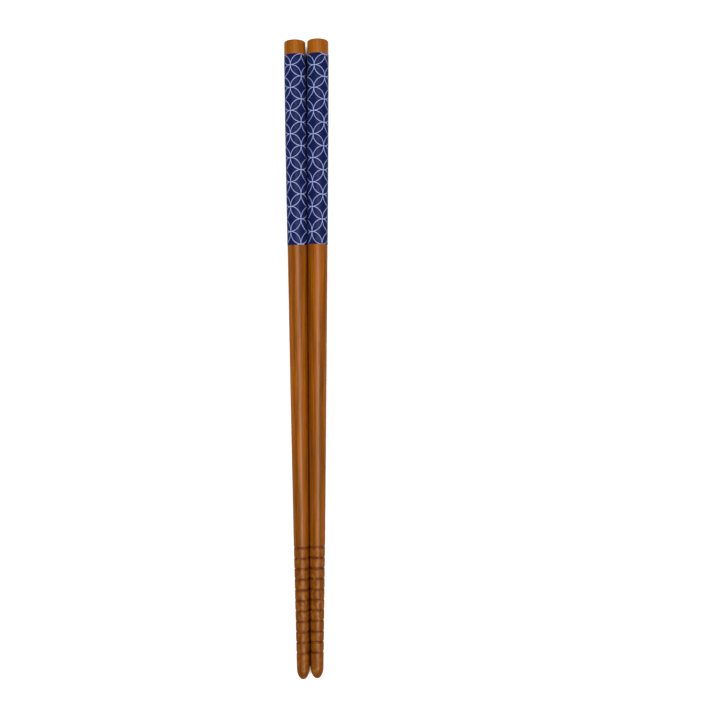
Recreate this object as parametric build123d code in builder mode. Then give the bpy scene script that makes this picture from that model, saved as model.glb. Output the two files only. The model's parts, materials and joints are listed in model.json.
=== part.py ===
from build123d import *
import os
from math import atan2, cos, sin, sqrt

# A pair of turned wooden chopsticks lying side by side, each with a printed film around its handle.
# All sizes are in millimetres. Y runs towards the handle ends, X across the pair, and Z is up.

# Lengths along one stick, counted from the flat handle end to the tip
bare_end = 5.05        # bare wood above the printed film
film_length = 66.75    # printed film
shaft_length = 104.55  # plain wood between the film and the grip
groove_lead = 1.85     # start of the grip to the middle of its first groove
groove_pitch = 3.72    # groove to groove
groove_count = 11
tip_land = 5.7         # last groove to the start of the nose
nose_length = 3.9      # rounded nose
nose_pull = 2.15       # how far the nose keeps on along the grip's taper before it rounds off
blunt_pull = 1.25      # how far its blunt end keeps on across the axis

# Diameters of the wood
butt_diameter = 7.48   # at the handle end
film_end_diameter = 6.98  # at the film's lower edge
grip_diameter = 5.54   # where the grip starts
nose_diameter = 4.5    # where the nose starts

# How far the radius swells beyond a straight taper, halfway along
handle_swell = 0.08    # under the film
shaft_swell = 0.03     # between the film and the grip

# Edges, grooves and film
butt_round = 0.7       # rounding of the handle end's rim
groove_width = 0.8     # at the surface
groove_depth = 0.2
film_thickness = 0.05

# How the two sticks lie
film_gap = 0.04        # between the two sticks where they come closest
stagger = 0.3          # the right stick lies this much further towards the handle end

# Stations along a stick
film_end = bare_end + film_length
grip_start = film_end + shaft_length
first_groove = grip_start + groove_lead
nose_start = first_groove + (groove_count - 1) * groove_pitch + tip_land
length = nose_start + nose_length

# Radii at those stations
butt_radius = butt_diameter / 2
film_end_radius = film_end_diameter / 2
grip_radius = grip_diameter / 2
nose_radius = nose_diameter / 2
film_pull_radius = (butt_radius + film_end_radius) / 2 + 2 * handle_swell
shaft_pull_radius = (film_end_radius + grip_radius) / 2 + 2 * shaft_swell

# Control points of the two swelling stretches, as radius and station
handle_curve = [
    (butt_radius, bare_end),
    (film_pull_radius, bare_end + film_length / 2),
    (film_end_radius, film_end),
]
film_curve = [(radius + film_thickness, station) for radius, station in handle_curve]
shaft_curve = [
    (film_end_radius, film_end),
    (shaft_pull_radius, film_end + shaft_length / 2),
    (grip_radius, grip_start),
]

# Each groove follows the taper of the grip
grip_taper = (grip_radius - nose_radius) / (nose_start - grip_start)
groove_stations = [first_groove + number * groove_pitch for number in range(groove_count)]
groove_places = [
    (grip_radius - grip_taper * (station - grip_start), station) for station in groove_stations
]


def ring_on(curve, share):
    """Radius and station at a share of the way along a curve of three control points."""
    (first, start), (pull, middle), (last, end) = curve
    rest = 1 - share
    radius = rest**2 * first + 2 * rest * share * pull + share**2 * last
    return radius, rest**2 * start + 2 * rest * share * middle + share**2 * end


def steepness(pair):
    """Slope of the line that lies on two rings."""
    (upper, upper_station), (lower, lower_station) = pair
    return (upper - lower) / (lower_station - upper_station)


def height_at_film_end(pair):
    """Radius at which that line passes over the film's lower edge."""
    upper, upper_station = pair[0]
    return upper - steepness(pair) * (film_end - upper_station)


def rest_order(pair):
    """Compares lines by their height there, and lines that all start there by how flat they are."""
    return height_at_film_end(pair), -steepness(pair)


# A stick lies on one ring of its film and one further down: on those two the line lies highest.
shares = [number / 100 for number in range(101)]
film_rings = [ring_on(film_curve, share) for share in shares]
shaft_rings = [ring_on(shaft_curve, share) for share in shares[1:]]
lower_rings = [*shaft_rings, (nose_radius, nose_start)]
resting_rings = max(
    ((upper, lower) for upper in film_rings for lower in lower_rings), key=rest_order
)

# It leans by that line's slope towards the floor, and towards its partner too.
lean = atan2(steepness(resting_rings), 1)
reach = max(radius * cos(lean) + station * sin(lean) for radius, station in resting_rings)
forward = sqrt(1 - 2 * sin(lean) ** 2)


def lay(side):
    """Plane through a stick's axis, X outwards from the axis and Y towards the tip.

    side is -1 for the left stick and 1 for the right one.
    """
    butt_centre = Vector(
        side * (reach + film_gap / 2),
        (length * forward + side * stagger) / 2,
        reach,
    )
    towards_tip = Vector(-side * sin(lean), -forward, -sin(lean))
    across = towards_tip.cross(Vector(0, 0, 1)).normalized()
    return Plane(origin=butt_centre, x_dir=towards_tip.cross(across), z_dir=across)


def axis_of(plane):
    """Axis of the stick that is drawn on a plane."""
    return Axis(plane.origin, plane.y_dir)


def turn_stick(plane):
    """One stick, turned from a single piece of wood: swelling taper, rounded nose and grip grooves."""
    with BuildPart() as stick:
        with BuildSketch(plane):
            with BuildLine():
                Polyline((0, length), (0, 0), (butt_radius, 0), (butt_radius, bare_end))
                Bezier(*handle_curve)
                Bezier(*shaft_curve)
                Line((grip_radius, grip_start), (nose_radius, nose_start))
                Bezier(
                    (nose_radius, nose_start),
                    (nose_radius - grip_taper * nose_pull, nose_start + nose_pull),
                    (blunt_pull, length),
                    (0, length),
                )
            make_face()
            with Locations(*groove_places):
                Polygon(
                    (-groove_depth, 0),
                    (groove_depth, -groove_width),
                    (groove_depth, groove_width),
                    align=None,
                    mode=Mode.SUBTRACT,
                )
        revolve(axis=axis_of(plane))
        butt_face = stick.faces().filter_by(GeomType.PLANE)
        fillet(butt_face.edges(), butt_round)
    return stick


def wrap_film(plane):
    """The printed film around one handle, a thin sleeve that lies on the wood."""
    with BuildPart() as film:
        with BuildSketch(plane):
            with BuildLine():
                Bezier(*handle_curve)
                Line(handle_curve[-1], film_curve[-1])
                Bezier(*film_curve)
                Line(film_curve[0], handle_curve[0])
            make_face()
        revolve(axis=axis_of(plane))
    return film


left_plane = lay(-1)
right_plane = lay(1)

left_stick = turn_stick(left_plane)
left_stick.part.label = "left_stick"

right_stick = turn_stick(right_plane)
right_stick.part.label = "right_stick"

left_film = wrap_film(left_plane)
left_film.part.label = "left_film"

right_film = wrap_film(right_plane)
right_film.part.label = "right_film"

os.makedirs("parts", exist_ok=True)
export_step(left_stick.part, "parts/left_stick.step")
export_step(right_stick.part, "parts/right_stick.step")
export_step(left_film.part, "parts/left_film.step")
export_step(right_film.part, "parts/right_film.step")
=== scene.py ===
"""Dresses a pair of wooden chopsticks: turned and lacquered sticks with a printed film round each handle.

Every length below is in millimetres until a mesh is placed, and the placed meshes are in metres.
"""
import json
import logging
import math
from dataclasses import dataclass
from enum import Enum
from typing import Any, Callable, Sequence

import bmesh
import bpy
from mathutils import Matrix, Vector


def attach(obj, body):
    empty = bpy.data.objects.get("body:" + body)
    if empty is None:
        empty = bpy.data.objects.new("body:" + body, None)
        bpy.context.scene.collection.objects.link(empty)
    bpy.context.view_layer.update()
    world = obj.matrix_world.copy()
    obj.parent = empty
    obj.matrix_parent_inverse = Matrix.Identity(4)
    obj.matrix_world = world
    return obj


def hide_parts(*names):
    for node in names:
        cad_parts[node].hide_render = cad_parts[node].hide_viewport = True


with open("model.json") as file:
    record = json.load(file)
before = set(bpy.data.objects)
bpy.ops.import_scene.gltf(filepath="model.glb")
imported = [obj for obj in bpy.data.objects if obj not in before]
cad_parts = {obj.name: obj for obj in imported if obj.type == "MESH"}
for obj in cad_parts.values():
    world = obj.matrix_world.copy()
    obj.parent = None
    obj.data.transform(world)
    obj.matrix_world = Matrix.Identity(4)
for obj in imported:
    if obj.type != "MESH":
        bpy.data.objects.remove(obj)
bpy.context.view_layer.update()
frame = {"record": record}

MM = 0.001
BODY = "root"
PRINT_MAP = "Print"
BAKE_MAP = "OFBake"
GROOVE_STAIN = "GrooveStain"
AROUND = 96  # faces round a stick
MERGE_DISTANCE = 1e-5  # closer points are one
AXIS_RADIUS = 1e-4  # a point closer to the axis lies on it

log = logging.getLogger("chopsticks")

Point = tuple[float, float]
Colour = tuple[float, float, float, float]
Placing = Callable[[float, Vector, bmesh.types.BMFace], Point]


class Side(Enum):
    """Which of the two sticks, as they lie with their handles away from the viewer."""

    LEFT = "left"
    RIGHT = "right"


def linear(code: str) -> Colour:
    """Turns an sRGB hex value into a linear colour.

    Args:
        code: Six hex digits with a leading #.

    Returns:
        Linear red, green, blue and an alpha of 1.
    """
    shares = [int(code[place:place + 2], 16) / 255 for place in (1, 3, 5)]
    red, green, blue = (
        share / 12.92 if share <= 0.04045 else ((share + 0.055) / 1.055) ** 2.4 for share in shares
    )
    return red, green, blue, 1.0


def add_node(tree: bpy.types.NodeTree, kind: str, inputs: dict[Any, Any] | None = None,
             stops: Sequence[tuple[float, Colour]] = (), **settings: Any) -> bpy.types.Node:
    """Adds a node, sets it up and links its inputs.

    Args:
        tree: The node tree that gets the node.
        kind: The node's type name without its ShaderNode prefix.
        inputs: Socket name or number to a value, or to the output socket that feeds it.
        stops: Place from 0 to 1 and linear colour of each stop of a colour ramp, in order.
        settings: Attributes of the node itself.

    Returns:
        The new node.
    """
    node = tree.nodes.new("ShaderNode" + kind)
    for name, value in settings.items():
        setattr(node, name, value)
    for key, value in (inputs or {}).items():
        if isinstance(value, bpy.types.NodeSocket):
            tree.links.new(value, node.inputs[key])
        else:
            node.inputs[key].default_value = value
    for number, (place, colour) in enumerate(stops):
        elements = node.color_ramp.elements
        element = elements[number] if number < len(elements) else elements.new(place)
        element.position = place
        element.color = colour
    return node


def new_tree(name: str) -> tuple[bpy.types.Material, bpy.types.NodeTree]:
    """Starts a material with an empty node tree.

    Args:
        name: The material's name.

    Returns:
        The material and its node tree.
    """
    material = bpy.data.materials.new(name)
    material.use_nodes = True
    material.node_tree.nodes.clear()
    return material, material.node_tree


def background_rays(tree: bpy.types.NodeTree) -> bpy.types.NodeSocket:
    """Tells the rays that see the white background from those that only carry light.

    Args:
        tree: The node tree that gets the nodes.

    Returns:
        1 for a ray from the camera, from a gloss or through a clear body, and 0 for any other.
    """
    rays = add_node(tree, "LightPath").outputs
    seen = rays["Is Camera Ray"]
    for kind in ("Is Glossy Ray", "Is Transmission Ray"):
        seen = add_node(tree, "Math", {0: seen, 1: rays[kind]}, operation="MAXIMUM").outputs[0]
    return seen


@dataclass(frozen=True)
class Grain:
    """A pattern in the wood whose flecks are drawn out along the stick.

    Width and length are a fleck's size in millimetres. Detail and roughness make its edges ragged.
    """

    width: float
    length: float
    detail: float
    roughness: float

    def pattern(self, tree: bpy.types.NodeTree, place: bpy.types.NodeSocket) -> bpy.types.NodeSocket:
        """Draws the pattern.

        Args:
            tree: The node tree that gets the nodes.
            place: Object coordinates in metres.

        Returns:
            The pattern's value, from 0 to 1.
        """
        across = 1 / (self.width * MM)
        along = 1 / (self.length * MM)
        mapped = add_node(tree, "Mapping", {"Vector": place, "Scale": (across, along, across)})
        noise = add_node(tree, "TexNoise", {
            "Vector": mapped.outputs[0],
            "Scale": 1.0,
            "Detail": self.detail,
            "Roughness": self.roughness,
        })
        return noise.outputs["Fac"]


@dataclass(frozen=True)
class Fade:
    """Where a stain starts to show, where it shows most, and how much it then covers, from 0 to 1."""

    start: float
    full: float
    most: float


@dataclass(frozen=True)
class LacqueredWood:
    """Brown-stained hardwood, turned, sanded along the grain and dipped in clear satin lacquer.

    Red tint, pores and the stain pooled in the grooves fade in by the value of a grain. The other fades are
    places in millimetres along the pair, counted from its middle, plus towards the handle ends.
    """

    dark: str = "#603301"
    middle: str = "#834502"
    light: str = "#A9650A"
    red_tint: str = "#8A3F0A"
    pore: str = "#4C2101"
    groove: str = "#521E00"
    sheen: str = "#FFC896"
    # Real fibres and pores are too fine to show, so both are drawn several times as wide as they are.
    fibres: Grain = Grain(width=0.32, length=22.0, detail=3.0, roughness=0.6)
    pores: Grain = Grain(width=0.2, length=3.6, detail=1.0, roughness=0.5)
    streaks: Grain = Grain(width=1.3, length=95.0, detail=2.0, roughness=0.5)
    mottle: Grain = Grain(width=1.2, length=2.2, detail=2.0, roughness=0.6)
    streak_share: float = 0.5
    stain_stops: tuple[float, float, float] = (0.36, 0.5, 0.65)
    mottle_stops: tuple[float, float, float] = (0.36, 0.5, 0.66)
    reddened: Fade = Fade(start=0.45, full=0.75, most=0.6)
    pored: Fade = Fade(start=0.62, full=0.74, most=0.55)
    soaked: Fade = Fade(start=-20.0, full=-85.0, most=0.4)
    mottled: Fade = Fade(start=-60.0, full=-72.0, most=0.32)
    # the wood is mixed towards its light brown over the last few millimetres at the handle end
    lighter_at_handle_end: Fade = Fade(start=100.0, full=108.0, most=0.25)
    pooled: Fade = Fade(start=0.65, full=0.4, most=1.0)
    pooled_least: float = 0.25
    relief_strength: float = 0.08
    relief_depth: float = 0.03
    roughness: float = 0.42
    specular: float = 0.05
    coat_weight: float = 0.068
    coat_roughness: float = 0.36
    coat_ior: float = 1.45

    def material(self) -> bpy.types.Material:
        """Builds the material.

        Returns:
            The wood's material.
        """
        # Stain takes unevenly in turned wood: the eye sees long streaks of redder and yellower brown, fine
        # dark pores and a mottled grip. Satin lacquer gives one soft gleam, which the fibres make warmer.
        material, tree = new_tree("wood_brown_stained_turned_lacquered")
        place = add_node(tree, "TexCoord").outputs["Object"]
        fibres = self.fibres.pattern(tree, place)
        pores = self.pores.pattern(tree, place)
        streaks = self.streaks.pattern(tree, place)
        mottle = self.mottle.pattern(tree, place)
        parts = add_node(tree, "SeparateXYZ", {0: place})
        along = add_node(tree, "Math", {0: parts.outputs[1], 1: MM}, operation="DIVIDE").outputs[0]
        dark, middle, light, groove = (
            linear(code) for code in (self.dark, self.middle, self.light, self.groove)
        )
        blend = add_node(tree, "Mix", {
            "Factor": self.streak_share, "A": fibres, "B": streaks}, data_type="FLOAT")
        stain = add_node(tree, "ValToRGB", {"Fac": blend.outputs[0]},
                         stops=list(zip(self.stain_stops, (dark, middle, light))))
        blotches = add_node(tree, "ValToRGB", {"Fac": mottle},
                            stops=list(zip(self.mottle_stops, (groove, dark, light))))
        layers = [
            (streaks, self.reddened, linear(self.red_tint)),
            (pores, self.pored, linear(self.pore)),
            (along, self.soaked, dark),
            (along, self.mottled, blotches.outputs["Color"]),
            (along, self.lighter_at_handle_end, light),
        ]
        colour = stain.outputs["Color"]
        for value, fade, over in layers:
            share = add_node(tree, "MapRange", {
                "Value": value, "From Min": fade.start, "From Max": fade.full, "To Max": fade.most})
            mixed = add_node(tree, "Mix", {
                "Factor": share.outputs[0], "A": colour, "B": over}, data_type="RGBA")
            colour = mixed.outputs["Result"]
        # The grooves hold the most stain, and more of it where the wood is mottled dark.
        reached = add_node(tree, "Attribute", attribute_name=GROOVE_STAIN).outputs["Fac"]
        held = add_node(tree, "MapRange", {
            "Value": mottle, "From Min": self.pooled.start, "From Max": self.pooled.full,
            "To Min": self.pooled_least, "To Max": self.pooled.most})
        pooled = add_node(tree, "Math", {0: reached, 1: held.outputs[0]}, operation="MULTIPLY")
        mixed = add_node(tree, "Mix", {
            "Factor": pooled.outputs[0], "A": colour, "B": groove}, data_type="RGBA")
        relief = add_node(tree, "Bump", {
            "Strength": self.relief_strength, "Distance": self.relief_depth * MM, "Height": fibres})
        surface = add_node(tree, "BsdfPrincipled", {
            "Base Color": mixed.outputs["Result"],
            "Roughness": self.roughness,
            "Specular IOR Level": self.specular,
            "Specular Tint": linear(self.sheen),
            "Coat Weight": self.coat_weight,
            "Coat Roughness": self.coat_roughness,
            "Coat IOR": self.coat_ior,
            "Normal": relief.outputs[0],
        })
        add_node(tree, "OutputMaterial", {"Surface": surface.outputs[0]})
        return material


@dataclass(frozen=True)
class PrintedFilm:
    """Thin plastic film, printed navy with interlocking circles in lavender and shrunk onto the wood.

    The print map counts columns and rows of circles, so that a circle's radius is 1 on it. circle_radius is
    that radius in millimetres, halfway along the film, and line_softness the soft share of half a line.
    """

    field: str = "#0F1A48"
    petal: str = "#111D4A"
    line: str = "#ACB5E6"
    speckle: str = "#2B3867"
    line_width: float = 0.18
    line_softness: float = 0.3
    circle_radius: float = 4.15
    # The dots of the print are too fine to show, so the speckle is drawn coarser than they are.
    speckle_size: float = 0.3
    speckle_detail: float = 2.0
    speckled: Fade = Fade(start=0.5, full=0.75, most=0.38)
    roughness: float = 0.4
    specular: float = 0.02

    def material(self) -> bpy.types.Material:
        """Builds the material.

        Returns:
            The film's material.
        """
        # Shrunk film is satin: the eye sees an even dark blue with fine pale lines, and inside the petals a
        # faint speckle where the navy is printed less densely.
        material, tree = new_tree("film_plastic_printed_navy_circles")
        spot = add_node(tree, "UVMap", uv_map=PRINT_MAP).outputs[0]
        parts = add_node(tree, "SeparateXYZ", {0: spot})
        # Folded at whole numbers, the print is one square with a quarter circle round each of two corners.
        across = add_node(tree, "Math", {0: parts.outputs[0], 1: 1.0}, operation="PINGPONG")
        along = add_node(tree, "Math", {0: parts.outputs[1], 1: 1.0}, operation="PINGPONG")
        folded = add_node(tree, "CombineXYZ", {0: across.outputs[0], 1: along.outputs[0]}).outputs[0]
        half = self.line_width / self.circle_radius / 2
        edge = self.line_softness * half
        radii = []
        lines = []
        for centre in ((0.0, 0.0, 0.0), (1.0, 1.0, 0.0)):
            apart = add_node(tree, "VectorMath", {0: folded, 1: centre}, operation="DISTANCE")
            radius = apart.outputs["Value"]
            offset = add_node(tree, "Math", {0: radius, 1: 1.0}, operation="SUBTRACT")
            away = add_node(tree, "Math", {0: offset.outputs[0]}, operation="ABSOLUTE")
            line = add_node(tree, "MapRange", {
                "Value": away.outputs[0], "From Min": half + edge, "From Max": half - edge},
                interpolation_type="SMOOTHSTEP")
            radii.append(radius)
            lines.append(line.outputs[0])
        line_mask = add_node(tree, "Math", {0: lines[0], 1: lines[1]}, operation="MAXIMUM").outputs[0]
        farther = add_node(tree, "Math", {0: radii[0], 1: radii[1]}, operation="MAXIMUM").outputs[0]
        petal_mask = add_node(tree, "Math", {0: farther, 1: 1.0}, operation="LESS_THAN").outputs[0]
        place = add_node(tree, "TexCoord").outputs["Object"]
        dots = add_node(tree, "TexNoise", {
            "Vector": place, "Scale": 1 / (self.speckle_size * MM), "Detail": self.speckle_detail})
        speckle = add_node(tree, "MapRange", {
            "Value": dots.outputs["Fac"], "From Min": self.speckled.start, "From Max": self.speckled.full,
            "To Max": self.speckled.most})
        petal = add_node(tree, "Mix", {
            "Factor": speckle.outputs[0], "A": linear(self.petal), "B": linear(self.speckle)},
            data_type="RGBA")
        ground = add_node(tree, "Mix", {
            "Factor": petal_mask, "A": linear(self.field), "B": petal.outputs["Result"]}, data_type="RGBA")
        colour = add_node(tree, "Mix", {
            "Factor": line_mask, "A": ground.outputs["Result"], "B": linear(self.line)}, data_type="RGBA")
        surface = add_node(tree, "BsdfPrincipled", {
            "Base Color": colour.outputs["Result"],
            "Roughness": self.roughness,
            "Specular IOR Level": self.specular,
        })
        add_node(tree, "OutputMaterial", {"Surface": surface.outputs[0]})
        return material


def resting_place(side: Side) -> Matrix:
    """Where a stick lies: its handle end's centre as origin, Z towards its tip, Y up and X across the pair.

    Args:
        side: The stick.

    Returns:
        The matrix from the stick's own millimetres to the frame's metres.
    """
    mount = next(item for item in frame["record"]["mounts"] if item["name"] == side.value + "_handle_end")
    towards_tip = -Vector(mount["axis"]).normalized()
    across = Vector((0, 0, 1)).cross(towards_tip).normalized()
    up = towards_tip.cross(across)
    turned = Matrix((across, up, towards_tip)).transposed().to_4x4()
    return Matrix.Translation(mount["pos_m"]) @ turned @ Matrix.Scale(MM, 4)


def turned_angle(place: Vector) -> float:
    """Angle in radians of a point round a stick's axis, 0 on top and growing towards +X."""
    return math.atan2(place.x, place.y)


def spin_profile(points: list[Point], closed: bool) -> bmesh.types.BMesh:
    """Spins a profile round the Z axis.

    Args:
        points: Radius and station of each point.
        closed: Whether the profile is a loop, as a sleeve's is.

    Returns:
        The closed mesh, with normals outwards.
    """
    mesh = bmesh.new()
    corners = [mesh.verts.new((radius, 0.0, station)) for radius, station in points]
    pairs = list(zip(corners, corners[1:]))
    if closed:
        pairs.append((corners[-1], corners[0]))
    edges = [mesh.edges.new(pair) for pair in pairs]
    bmesh.ops.spin(mesh, geom=corners + edges, cent=(0, 0, 0), axis=(0, 0, 1), dvec=(0, 0, 0),
                   angle=math.tau, steps=AROUND, use_merge=True)
    bmesh.ops.remove_doubles(mesh, verts=mesh.verts, dist=MERGE_DISTANCE)
    bmesh.ops.recalc_face_normals(mesh, faces=mesh.faces)
    return mesh


def write_map(mesh: bmesh.types.BMesh, name: str, place: Placing) -> None:
    """Gives each corner of each face a place on a UV map, with the map's cut along the stick's underside.

    Args:
        mesh: The mesh in the stick's own frame.
        name: The map's name.
        place: Gives the place from the angle round the stick, the corner and its face.
    """
    layer = mesh.loops.layers.uv.new(name)
    for face in mesh.faces:
        middle = turned_angle(face.calc_center_median())
        for loop in face.loops:
            on_axis = math.hypot(loop.vert.co.x, loop.vert.co.y) < AXIS_RADIUS
            angle = middle if on_axis else turned_angle(loop.vert.co)
            if angle - middle > math.pi:
                angle -= math.tau
            elif middle - angle > math.pi:
                angle += math.tau
            loop[layer].uv = place(angle, loop.vert.co, face)


def finish_piece(mesh: bmesh.types.BMesh, name: str, side: Side, material: bpy.types.Material, node: str) -> bpy.types.Object:
    """Places a mesh where its solid lies and hands it to the frame.

    Args:
        mesh: The finished mesh in the stick's own frame, freed here.
        name: The piece's name.
        side: The stick that it belongs to.
        material: Its finish.
        node: The solid that it stands for.

    Returns:
        The piece's object.
    """
    bmesh.ops.transform(mesh, matrix=resting_place(side), verts=mesh.verts)
    data = bpy.data.meshes.new(name)
    mesh.to_mesh(data)
    mesh.free()
    data.materials.append(material)
    data.shade_smooth()
    piece = bpy.data.objects.new(name, data)
    bpy.context.scene.collection.objects.link(piece)
    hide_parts(node)
    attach(piece, BODY)
    return piece


@dataclass
class Stick:
    """One stick, turned from a single piece of wood.

    Stations are counted from the flat handle end. The stain of a groove reaches a little past its edges.
    """

    side: Side
    bare_end: float = 5.05
    film_end: float = 71.8
    grip_start: float = 176.35
    first_groove: float = 178.2
    groove_pitch: float = 3.72
    groove_count: int = 11
    groove_width: float = 1.1
    groove_depth: float = 0.18
    stain_reach: float = 0.85
    nose_start: float = 221.1
    nose_length: float = 3.9
    nose_pull: float = 2.15
    blunt_pull: float = 1.25
    butt_radius: float = 3.74
    film_end_radius: float = 3.49
    grip_radius: float = 2.77
    nose_radius: float = 2.25
    handle_swell: float = 0.08
    shaft_swell: float = 0.03
    butt_round: float = 0.7
    ring_spacing: float = 4.0
    rim_steps: int = 8
    groove_steps: int = 20
    nose_steps: int = 18
    strip_count: int = 3
    map_margin: float = 0.04

    @property
    def length(self) -> float:
        """Overall length."""
        return self.nose_start + self.nose_length

    @property
    def grip_taper(self) -> float:
        """Loss of radius for each millimetre of the grip."""
        return (self.grip_radius - self.nose_radius) / (self.nose_start - self.grip_start)

    @property
    def groove_stations(self) -> list[float]:
        """Station of each groove's middle."""
        return [self.first_groove + number * self.groove_pitch for number in range(self.groove_count)]

    @property
    def strip_length(self) -> float:
        """Length of one strip of the surface, unrolled from the middle of the handle end to the tip."""
        return (self.length + self.butt_radius + self.nose_radius) / self.strip_count

    def radius_at(self, station: float) -> float:
        """Radius of the tapers, without grooves and rounded ends.

        Args:
            station: Distance from the handle end.

        Returns:
            The radius there.
        """
        knots = [
            (0.0, self.butt_radius, 0.0),
            (self.bare_end, self.butt_radius, self.handle_swell),
            (self.film_end, self.film_end_radius, self.shaft_swell),
            (self.grip_start, self.grip_radius, 0.0),
            (self.nose_start, self.nose_radius, 0.0),
        ]
        for (start, first, swell), (end, last, _) in zip(knots, knots[1:]):
            if station <= end:
                share = (station - start) / (end - start)
                return first + (last - first) * share + 4 * swell * share * (1 - share)
        return self.nose_radius

    def groove_points(self, middle: float) -> list[Point]:
        """Profile of one groove, softened by the lacquer that fills its corner.

        Args:
            middle: Station of the groove's middle.

        Returns:
            Radius and station of each point.
        """
        points = []
        for step in range(self.groove_steps + 1):
            away = (2 * step / self.groove_steps - 1) * self.stain_reach
            share = min(1.0, abs(away) / (self.groove_width / 2))
            drop = self.groove_depth * (1 + math.cos(math.pi * share)) / 2
            points.append((self.radius_at(middle + away) - drop, middle + away))
        return points

    def nose_points(self) -> list[Point]:
        """Profile of the nose, a curve that leaves the grip's taper smoothly and ends blunt on the axis.

        Returns:
            Radius and station of each point.
        """
        pulls = [
            Vector((self.nose_radius, self.nose_start)),
            Vector((self.nose_radius - self.grip_taper * self.nose_pull, self.nose_start + self.nose_pull)),
            Vector((self.blunt_pull, self.length)),
            Vector((0.0, self.length)),
        ]
        points = []
        for step in range(1, self.nose_steps + 1):
            share = step / self.nose_steps
            rest = 1 - share
            weights = (rest ** 3, 3 * rest ** 2 * share, 3 * rest * share ** 2, share ** 3)
            spot = sum((pull * weight for pull, weight in zip(pulls, weights)), Vector((0.0, 0.0)))
            points.append((spot.x, spot.y))
        return points

    def plain_points(self, start: float, end: float) -> list[Point]:
        """Evenly spaced rings of a plain stretch, its end left out.

        Args:
            start: Station of the first ring.
            end: Station where the stretch ends.

        Returns:
            Radius and station of each ring.
        """
        count = max(1, round((end - start) / self.ring_spacing))
        stations = [start + (end - start) * number / count for number in range(count)]
        return [(self.radius_at(station), station) for station in stations]

    def profile(self) -> list[Point]:
        """The whole profile from the middle of the handle end to the tip.

        Returns:
            Radius and station of each point.
        """
        rim_radius = self.radius_at(self.butt_round)
        points = [(0.0, 0.0), ((rim_radius - self.butt_round) / 2, 0.0)]
        for step in range(self.rim_steps + 1):
            turn = math.pi / 2 * step / self.rim_steps
            inwards = self.butt_round * (1 - math.sin(turn))
            points.append((rim_radius - inwards, self.butt_round * (1 - math.cos(turn))))
        points += self.plain_points(self.bare_end, self.film_end)
        points += self.plain_points(self.film_end, self.grip_start)
        start = self.grip_start
        for middle in self.groove_stations:
            points += self.plain_points(start, middle - self.stain_reach)
            points += self.groove_points(middle)[:-1]
            start = middle + self.stain_reach
        points += self.plain_points(start, self.nose_start)
        points.append((self.nose_radius, self.nose_start))
        return points + self.nose_points()

    def bake_place(self, angle: float, corner: Vector, face: bmesh.types.BMFace) -> Point:
        """Unrolls the surface into a few strips that lie side by side.

        Args:
            angle: Angle round the stick, in radians.
            corner: The corner in the stick's own frame.
            face: The face that it belongs to, which lies in one strip.

        Returns:
            The corner's place on the map.
        """
        from_axis = math.hypot(corner.x, corner.y)
        drawn = corner.z + self.butt_radius
        if corner.z < self.butt_round:
            drawn = from_axis + corner.z
        elif corner.z > self.nose_start:
            drawn += self.nose_radius - from_axis
        strip = int((face.calc_center_median().z + self.butt_radius) / self.strip_length)
        strip = min(strip, self.strip_count - 1)
        inside = 1 - 2 * self.map_margin
        round_share = self.map_margin + inside * (angle / math.tau + 0.5)
        length_share = self.map_margin + inside * (drawn / self.strip_length - strip)
        return (strip + round_share) / self.strip_count, length_share

    def build(self) -> bmesh.types.BMesh:
        """Turns the stick and marks where its grooves hold stain.

        Returns:
            Its mesh in its own frame.
        """
        mesh = spin_profile(self.profile(), closed=False)
        write_map(mesh, BAKE_MAP, self.bake_place)
        stain = mesh.verts.layers.float.new(GROOVE_STAIN)
        middles = self.groove_stations
        for corner in mesh.verts:
            away = min(abs(corner.co.z - middle) for middle in middles) / self.stain_reach
            corner[stain] = max(0.0, 1 - away * away) ** 2
        return mesh

    def dress(self, wood: bpy.types.Material) -> bpy.types.Object:
        """Builds the stick and hands it over in its wood."""
        name = self.side.value
        return finish_piece(self.build(), name + "_turned_stick", self.side, wood, name + "_stick")


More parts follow.
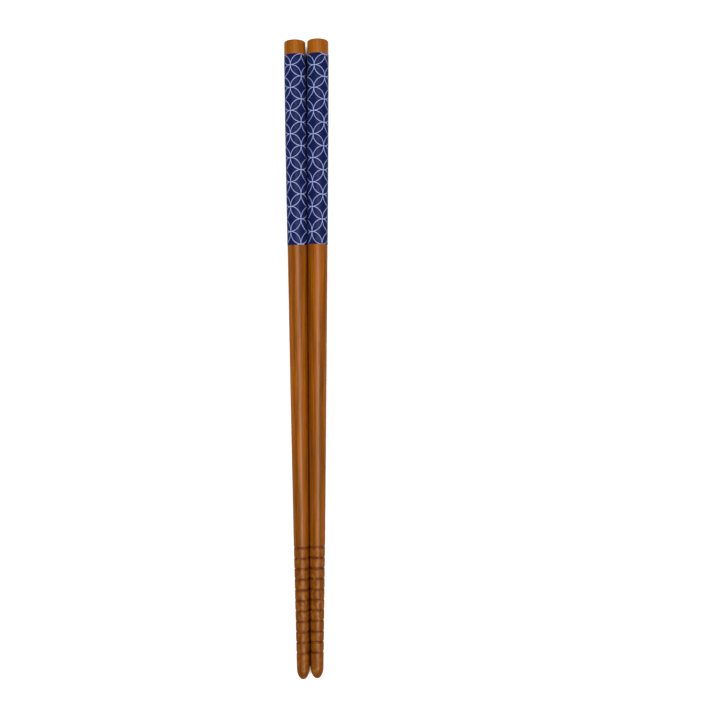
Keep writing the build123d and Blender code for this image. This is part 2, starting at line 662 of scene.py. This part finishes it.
@dataclass
class Film:
    """The printed film round one stick's handle.

    The print starts a little below the film's upper edge. Its rows grow longer along the film, and its
    columns wind slowly round the stick from the angle of the first one.
    """

    stick: Stick
    print_start: float
    first_column_deg: float
    twist_deg: float = -16.0
    columns: int = 6
    first_pitch: float = 3.86
    pitch_growth: float = 0.0365
    thickness: float = 0.05
    seat: float = 0.004
    edge_round: float = 0.03
    rings: int = 34
    map_margin: float = 0.03
    outside_share: float = 0.82

    @property
    def length(self) -> float:
        """Length of the film along the stick."""
        return self.stick.film_end - self.stick.bare_end

    def rows_from(self, drawn: float) -> float:
        """Row of the print at a distance from its start, as a decimal: each row is longer than the last."""
        pitch = math.sqrt(self.first_pitch ** 2 + 2 * self.pitch_growth * drawn)
        return (pitch - self.first_pitch) / self.pitch_growth

    def profile(self) -> list[Point]:
        """The sleeve's closed profile, with rounded outer edges.

        Returns:
            Radius and station of each point.
        """
        stick = self.stick
        ends = (stick.bare_end, stick.film_end)
        step = (self.length - 2 * self.edge_round) / self.rings
        stations = [stick.bare_end + self.edge_round + step * number for number in range(self.rings + 1)]
        outside = [(stick.radius_at(station) + self.thickness, station) for station in stations]
        first, last = ((stick.radius_at(end) + self.thickness - self.edge_round, end) for end in ends)
        inside = [(stick.radius_at(end) + self.seat, end) for end in reversed(ends)]
        return [first, *outside, last, *inside]

    def print_place(self, angle: float, corner: Vector, face: bmesh.types.BMFace) -> Point:
        """Counts columns of circles round the stick, and rows along it.

        Args:
            angle: Angle round the stick, in radians.
            corner: The corner in the stick's own frame.
            face: The face that it belongs to, which makes no difference to the print.

        Returns:
            The corner's column and row, as decimals.
        """
        down = corner.z - self.stick.bare_end
        column_angle = self.first_column_deg + self.twist_deg * down / self.length
        column = (math.degrees(angle) - column_angle) / (360 / self.columns)
        return column, self.rows_from(down - self.print_start)

    def bake_place(self, angle: float, corner: Vector, face: bmesh.types.BMFace) -> Point:
        """Unrolls the outside over most of the map and the hidden inside over the rest.

        Args:
            angle: Angle round the stick, in radians.
            corner: The corner in the stick's own frame.
            face: The face that it belongs to, on one side of the sleeve or the other.

        Returns:
            The corner's place on the map.
        """
        wide = self.outside_share
        inside = 1 - 2 * self.map_margin
        faces_out = face.normal.dot(Vector((corner.x, corner.y, 0))) > 0
        round_share = self.map_margin + inside * (angle / math.tau + 0.5)
        across = round_share * wide if faces_out else wide + round_share * (1 - wide)
        return across, self.map_margin + inside * (corner.z - self.stick.bare_end) / self.length

    def build(self) -> bmesh.types.BMesh:
        """Wraps the film and lays out its print.

        Returns:
            Its mesh in the stick's own frame.
        """
        mesh = spin_profile(self.profile(), closed=True)
        write_map(mesh, PRINT_MAP, self.print_place)
        write_map(mesh, BAKE_MAP, self.bake_place)
        return mesh

    def dress(self, printed: bpy.types.Material) -> bpy.types.Object:
        """Builds the film and hands it over with its finish.

        Args:
            printed: Its finish.

        Returns:
            The finished piece.
        """
        side = self.stick.side
        name = side.value
        return finish_piece(self.build(), name + "_printed_film", side, printed, name + "_film")


@dataclass
class Studio:
    """White table, soft light from above and from both sides, and a camera that looks straight down.

    The camera's values are the photograph's: its size and the pair's middle in pixels, the pixels to a
    millimetre at the height of the sticks' axes, and how far the pair is turned on the table.
    """

    image_width: int = 720
    image_height: int = 708
    pixels_per_mm: float = 2.8375
    pair_pixel: tuple[float, float] = (308.2, 360.6)
    pair_lean_deg: float = 0.344
    camera_height: float = 400.0
    axis_height: float = 3.7
    sensor: float = 36.0
    table_white: str = "#F7F7F7"
    table_bounce: str = "#7A7A7A"
    # painted shade: the dark colour that the eye sees on the paper between the sticks
    painted_gap_shade: str = "#33251B"
    table_reach: float = 40000.0
    near_lift: float = 0.45
    far_lift: float = 0.85
    near: float = 300.0
    far: float = 1200.0
    # half width of the painted shade between the sticks, and where it fades out towards their ends
    painted_shade_half_width: float = 3.0
    painted_shade_fade_start: float = 108.3
    painted_shade_fade_end: float = 111.8
    lamp_height: float = 900.0
    lamp_size: tuple[float, float] = (800.0, 1600.0)
    lamp_power: float = 6.8
    side_size: tuple[float, float] = (500.0, 1500.0)
    side_power: float = 4.9
    side_reach: float = 750.0
    side_height: float = 400.0
    tube_size: tuple[float, float] = (430.0, 1000.0)
    tube_power: float = 50.0
    tube_aside: float = 210.0
    tube_along: float = -190.0
    tube_turn_deg: float = 26.0
    sky: str = "#FFFFFF"
    sky_strength: float = 0.28

    def paper(self) -> bpy.types.Material:
        """Builds the table's material.

        Returns:
            The paper's material.
        """
        # Matt paper has no gloss: the eye sees an even white with a faint shadow beside the sticks.
        # It throws back less light than it shows, so that the sticks' undersides stay dark.
        material, tree = new_tree("table_matt_white_paper_painted_gap_shade")
        seen = background_rays(tree)
        spot = add_node(tree, "TexCoord").outputs["Object"]
        mirrored = add_node(tree, "VectorMath", {0: spot}, operation="ABSOLUTE")
        parts = add_node(tree, "SeparateXYZ", {0: mirrored.outputs[0]})
        # Hardly any light gets between the sticks, so a dark shade is painted on the paper there for the
        # eye, until close to their ends.
        beside = add_node(tree, "Math", {
            0: parts.outputs[0], 1: self.painted_shade_half_width * MM}, operation="GREATER_THAN")
        beyond = add_node(tree, "MapRange", {
            "Value": parts.outputs[1], "From Min": self.painted_shade_fade_start * MM, "From Max": self.painted_shade_fade_end * MM})
        clear = add_node(tree, "Math", {0: beside.outputs[0], 1: beyond.outputs[0]}, operation="MAXIMUM")
        seen_with_painted_shade = add_node(tree, "Mix", {
            "Factor": clear.outputs[0], "A": linear(self.painted_gap_shade), "B": linear(self.table_white)},
            data_type="RGBA")
        colour = add_node(tree, "Mix", {
            "Factor": seen, "A": linear(self.table_bounce), "B": seen_with_painted_shade.outputs["Result"]}, data_type="RGBA")
        matt = add_node(tree, "BsdfDiffuse", {"Color": colour.outputs["Result"]})
        # The lamps leave the paper grey, so what is seen of it is lifted to white, and more so far away.
        open_view = add_node(tree, "Math", {0: clear.outputs[0], 1: seen}, operation="MULTIPLY")
        away = add_node(tree, "VectorMath", {0: spot}, operation="LENGTH").outputs["Value"]
        lift = add_node(tree, "MapRange", {
            "Value": away, "From Min": self.near * MM, "From Max": self.far * MM,
            "To Min": self.near_lift, "To Max": self.far_lift})
        glow = add_node(tree, "Math", {0: open_view.outputs[0], 1: lift.outputs[0]}, operation="MULTIPLY")
        lifted = add_node(tree, "Emission", {"Strength": glow.outputs[0]})
        both = add_node(tree, "AddShader", {0: matt.outputs[0], 1: lifted.outputs[0]})
        add_node(tree, "OutputMaterial", {"Surface": both.outputs[0]})
        return material

    def build_table(self) -> None:
        """Lays the white table that the pair lies on."""
        mesh = bmesh.new()
        bmesh.ops.create_grid(mesh, x_segments=1, y_segments=1, size=self.table_reach * MM)
        data = bpy.data.meshes.new("table")
        mesh.to_mesh(data)
        mesh.free()
        data.materials.append(self.paper())
        table = bpy.data.objects.new("table", data)
        bpy.context.scene.collection.objects.link(table)

    def hang(self, name: str, size: tuple[float, float], power: float) -> bpy.types.Object:
        """Hangs a flat lamp over the middle of the pair.

        Args:
            name: The lamp's name.
            size: Its width across the pair and its length along it.
            power: Its power in watts.

        Returns:
            The lamp.
        """
        data = bpy.data.lights.new(name, "AREA")
        data.shape = "RECTANGLE"
        data.size, data.size_y = (length * MM for length in size)
        data.energy = power
        lamp = bpy.data.objects.new(name, data)
        lamp.location = (0.0, 0.0, self.lamp_height * MM)
        bpy.context.scene.collection.objects.link(lamp)
        return lamp

    def light(self) -> None:
        """Hangs the lamps under an even white sky.

        The side lamps light the outer flanks without a gleam, and each stick keeps them off the flank of
        the other in the gap. The tube only shows in the gloss, as the gleam along each stick.
        """
        self.hang("overhead_softbox", self.lamp_size, self.lamp_power)
        for name, turn in (("left_softbox", -1), ("right_softbox", 1)):
            softbox = self.hang(name, self.side_size, self.side_power)
            softbox.location = (turn * self.side_reach * MM, 0.0, self.side_height * MM)
            softbox.rotation_euler.y = turn * math.atan2(self.side_reach, self.side_height)
            softbox.visible_glossy = False
        tube = self.hang("overhead_tube", self.tube_size, self.tube_power)
        tube.location.x = self.tube_aside * MM
        tube.location.y = self.tube_along * MM
        tube.rotation_euler.z = math.radians(self.tube_turn_deg)
        tube.visible_diffuse = False
        world = bpy.data.worlds.new("white_studio")
        world.use_nodes = True
        tree = world.node_tree
        tree.nodes.clear()
        strength = add_node(tree, "MapRange", {"Value": background_rays(tree), "To Min": self.sky_strength})
        sky = add_node(tree, "Background", {"Color": linear(self.sky), "Strength": strength.outputs[0]})
        add_node(tree, "OutputWorld", {"Surface": sky.outputs[0]})
        bpy.context.scene.world = world

    def aim_camera(self) -> None:
        """Sets the camera over the table so that the pair lies where the photograph has it."""
        data = bpy.data.cameras.new("camera")
        data.sensor_width = self.sensor
        data.sensor_fit = "HORIZONTAL"
        data.lens = self.sensor * self.pixels_per_mm * self.camera_height / self.image_width
        camera = bpy.data.objects.new("camera", data)
        roll = -math.radians(self.pair_lean_deg)
        across, down = self.pair_pixel
        to_middle = Vector((self.image_width / 2 - across, down - self.image_height / 2))
        place = Matrix.Rotation(roll, 2) @ (to_middle / self.pixels_per_mm)
        camera.location = Vector((place.x, place.y, self.camera_height + self.axis_height)) * MM
        camera.rotation_euler = (0.0, 0.0, roll)
        bpy.context.scene.collection.objects.link(camera)
        bpy.context.scene.camera = camera

    def build(self) -> None:
        """Sets up table, light, camera and view."""
        self.build_table()
        self.light()
        self.aim_camera()
        bpy.context.scene.view_settings.view_transform = "Standard"


def main() -> None:
    """Builds the pair and its studio."""
    logging.basicConfig(level=logging.INFO, format="%(name)s %(message)s")
    wood = LacqueredWood().material()
    printed = PrintedFilm().material()
    films = [
        Film(Stick(Side.LEFT), print_start=0.03, first_column_deg=-20.9),
        Film(Stick(Side.RIGHT), print_start=0.4, first_column_deg=-16.5),
    ]
    for film in films:
        for piece in (film.stick.dress(wood), film.dress(printed)):
            log.info("%s: %d faces", piece.name, len(piece.data.polygons))
    Studio().build()


if __name__ == "__main__":
    main()
